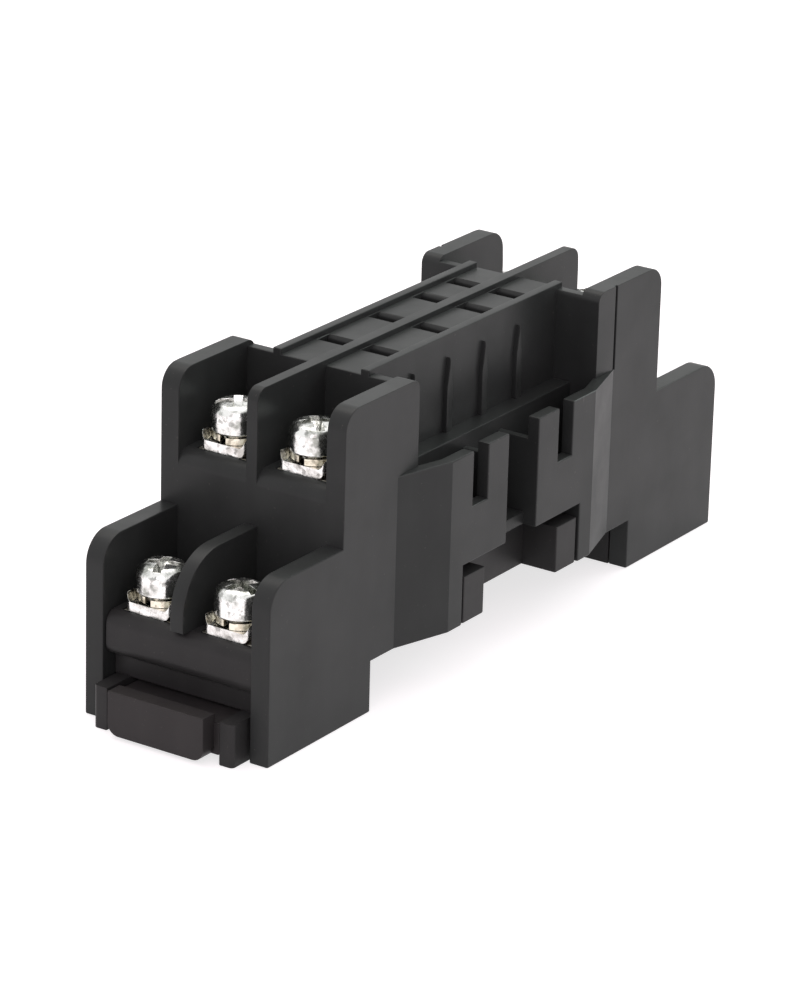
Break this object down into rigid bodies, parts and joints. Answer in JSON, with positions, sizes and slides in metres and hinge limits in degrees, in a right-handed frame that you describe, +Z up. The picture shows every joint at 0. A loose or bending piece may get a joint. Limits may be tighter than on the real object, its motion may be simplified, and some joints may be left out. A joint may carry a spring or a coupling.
{
  "type": "relay socket",
  "caption": "Slim DIN-rail socket for a plug-in relay: stepped screw terminals at both ends, a slotted spine between them and a sprung rail slide.",
  "frame": {"origin": "middle of the overall box's underside, on the level that the end blocks stand on", "axes": "+X along the socket away from the pull tab, +Y to the left seen from the pull tab's end, +Z up out of the terminals"},
  "size_m": [0.075, 0.0226, 0.0286],
  "materials": {
    "housing_plastic": "black moulded",
    "slide_plastic": "black moulded",
    "contact_brass": "nickel plated",
    "nickel_steel": "bright nickel",
    "spring_steel": "drawn strip"
  },
  "bodies": {
    "socket": {"housing": "housing_plastic", "base_cover": "housing_plastic", "slide_spring": "spring_steel", "near_lower_left_contact": "contact_brass", "near_lower_right_contact": "contact_brass", "near_upper_left_contact": "contact_brass", "near_upper_right_contact": "contact_brass", "far_lower_left_contact": "contact_brass", "far_lower_right_contact": "contact_brass", "far_upper_left_contact": "contact_brass", "far_upper_right_contact": "contact_brass"},
    "slide": {"rail_slide": "slide_plastic"},
    "near_lower_left_clamp_body": {"near_lower_left_clamp": "nickel_steel", "near_lower_left_lock_washer": "nickel_steel"},
    "near_lower_left_screw_body": {"near_lower_left_screw": "nickel_steel"},
    "near_lower_right_clamp_body": {"near_lower_right_clamp": "nickel_steel", "near_lower_right_lock_washer": "nickel_steel"},
    "near_lower_right_screw_body": {"near_lower_right_screw": "nickel_steel"},
    "near_upper_left_clamp_body": {"near_upper_left_clamp": "nickel_steel", "near_upper_left_lock_washer": "nickel_steel"},
    "near_upper_left_screw_body": {"near_upper_left_screw": "nickel_steel"},
    "near_upper_right_clamp_body": {"near_upper_right_clamp": "nickel_steel", "near_upper_right_lock_washer": "nickel_steel"},
    "near_upper_right_screw_body": {"near_upper_right_screw": "nickel_steel"},
    "far_lower_left_clamp_body": {"far_lower_left_clamp": "nickel_steel", "far_lower_left_lock_washer": "nickel_steel"},
    "far_lower_left_screw_body": {"far_lower_left_screw": "nickel_steel"},
    "far_lower_right_clamp_body": {"far_lower_right_clamp": "nickel_steel", "far_lower_right_lock_washer": "nickel_steel"},
    "far_lower_right_screw_body": {"far_lower_right_screw": "nickel_steel"},
    "far_upper_left_clamp_body": {"far_upper_left_clamp": "nickel_steel", "far_upper_left_lock_washer": "nickel_steel"},
    "far_upper_left_screw_body": {"far_upper_left_screw": "nickel_steel"},
    "far_upper_right_clamp_body": {"far_upper_right_clamp": "nickel_steel", "far_upper_right_lock_washer": "nickel_steel"},
    "far_upper_right_screw_body": {"far_upper_right_screw": "nickel_steel"}
  },
  "joints": [
    {"name": "slide_pull", "type": "slide", "parent": "socket", "child": "slide", "axis": [-1, 0, 0], "range_m": [0, 0.003], "stiffness_N_per_m": 400, "deforming": ["slide_spring"]},
    {"name": "near_lower_left_clamp_lift", "type": "slide", "parent": "socket", "child": "near_lower_left_clamp_body", "axis": [0, 0, 1], "range_m": [0, 0.0015]},
    {"name": "near_lower_left_screw_turn", "type": "hinge", "parent": "near_lower_left_clamp_body", "child": "near_lower_left_screw_body", "pos_m": [-0.03105, 0.0041, 0.01235], "axis": [0, 0, 1], "range_deg": [0, 1080]},
    {"name": "near_lower_right_clamp_lift", "type": "slide", "parent": "socket", "child": "near_lower_right_clamp_body", "axis": [0, 0, 1], "range_m": [0, 0.0015]},
    {"name": "near_lower_right_screw_turn", "type": "hinge", "parent": "near_lower_right_clamp_body", "child": "near_lower_right_screw_body", "pos_m": [-0.03105, -0.0041, 0.01235], "axis": [0, 0, 1], "range_deg": [0, 1080]},
    {"name": "near_upper_left_clamp_lift", "type": "slide", "parent": "socket", "child": "near_upper_left_clamp_body", "axis": [0, 0, 1], "range_m": [0, 0.0015]},
    {"name": "near_upper_left_screw_turn", "type": "hinge", "parent": "near_upper_left_clamp_body", "child": "near_upper_left_screw_body", "pos_m": [-0.02055, 0.0041, 0.0239], "axis": [0, 0, 1], "range_deg": [0, 1080]},
    {"name": "near_upper_right_clamp_lift", "type": "slide", "parent": "socket", "child": "near_upper_right_clamp_body", "axis": [0, 0, 1], "range_m": [0, 0.0015]},
    {"name": "near_upper_right_screw_turn", "type": "hinge", "parent": "near_upper_right_clamp_body", "child": "near_upper_right_screw_body", "pos_m": [-0.02055, -0.0041, 0.0239], "axis": [0, 0, 1], "range_deg": [0, 1080]},
    {"name": "far_lower_left_clamp_lift", "type": "slide", "parent": "socket", "child": "far_lower_left_clamp_body", "axis": [0, 0, 1], "range_m": [0, 0.0015]},
    {"name": "far_lower_left_screw_turn", "type": "hinge", "parent": "far_lower_left_clamp_body", "child": "far_lower_left_screw_body", "pos_m": [0.03395, 0.0041, 0.01235], "axis": [0, 0, 1], "range_deg": [0, 1080]},
    {"name": "far_lower_right_clamp_lift", "type": "slide", "parent": "socket", "child": "far_lower_right_clamp_body", "axis": [0, 0, 1], "range_m": [0, 0.0015]},
    {"name": "far_lower_right_screw_turn", "type": "hinge", "parent": "far_lower_right_clamp_body", "child": "far_lower_right_screw_body", "pos_m": [0.03395, -0.0041, 0.01235], "axis": [0, 0, 1], "range_deg": [0, 1080]},
    {"name": "far_upper_left_clamp_lift", "type": "slide", "parent": "socket", "child": "far_upper_left_clamp_body", "axis": [0, 0, 1], "range_m": [0, 0.0015]},
    {"name": "far_upper_left_screw_turn", "type": "hinge", "parent": "far_upper_left_clamp_body", "child": "far_upper_left_screw_body", "pos_m": [0.02305, 0.0041, 0.0239], "axis": [0, 0, 1], "range_deg": [0, 1080]},
    {"name": "far_upper_right_clamp_lift", "type": "slide", "parent": "socket", "child": "far_upper_right_clamp_body", "axis": [0, 0, 1], "range_m": [0, 0.0015]},
    {"name": "far_upper_right_screw_turn", "type": "hinge", "parent": "far_upper_right_clamp_body", "child": "far_upper_right_screw_body", "pos_m": [0.02305, -0.0041, 0.0239], "axis": [0, 0, 1], "range_deg": [0, 1080]}
  ],
  "couplings": [
    {"joint": "near_lower_left_screw_turn", "follows": "near_lower_left_clamp_lift", "rad_per_m": 12566},
    {"joint": "near_lower_right_screw_turn", "follows": "near_lower_right_clamp_lift", "rad_per_m": 12566},
    {"joint": "near_upper_left_screw_turn", "follows": "near_upper_left_clamp_lift", "rad_per_m": 12566},
    {"joint": "near_upper_right_screw_turn", "follows": "near_upper_right_clamp_lift", "rad_per_m": 12566},
    {"joint": "far_lower_left_screw_turn", "follows": "far_lower_left_clamp_lift", "rad_per_m": 12566},
    {"joint": "far_lower_right_screw_turn", "follows": "far_lower_right_clamp_lift", "rad_per_m": 12566},
    {"joint": "far_upper_left_screw_turn", "follows": "far_upper_left_clamp_lift", "rad_per_m": 12566},
    {"joint": "far_upper_right_screw_turn", "follows": "far_upper_right_clamp_lift", "rad_per_m": 12566}
  ]
}
